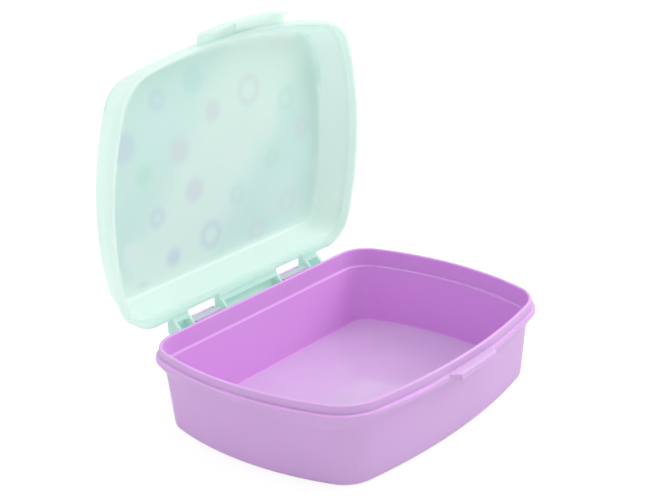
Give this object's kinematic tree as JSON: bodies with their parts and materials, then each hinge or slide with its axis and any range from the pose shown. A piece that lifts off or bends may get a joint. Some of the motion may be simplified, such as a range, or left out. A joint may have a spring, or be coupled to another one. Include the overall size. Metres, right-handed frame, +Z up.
{
  "type": "sandwich box",
  "caption": "Shallow bowed-rectangle tub with a hinged translucent lid that snaps shut at the front, shown open.",
  "frame": {"origin": "centre of the tub's flat underside, on the surface that it stands on", "axes": "+X along the hinge and the tub's long side; +Y from the latch towards the hinge; +Z up out of the tub"},
  "size_m": [0.17, 0.1523, 0.1743],
  "materials": {
    "tub_plastic": "satin moulded",
    "lid_plastic": "satin moulded, translucent",
    "label_film": "printed film"
  },
  "bodies": {
    "tub": {"base_tub": "tub_plastic"},
    "lid": {"lid": "lid_plastic", "lid_label": "label_film"}
  },
  "joints": [
    {"name": "lid_hinge", "type": "hinge", "parent": "tub", "child": "lid", "pos_m": [0, 0.0682, 0.03615], "axis": [1, 0, 0], "range_deg": [0, 86.33]}
  ]
}
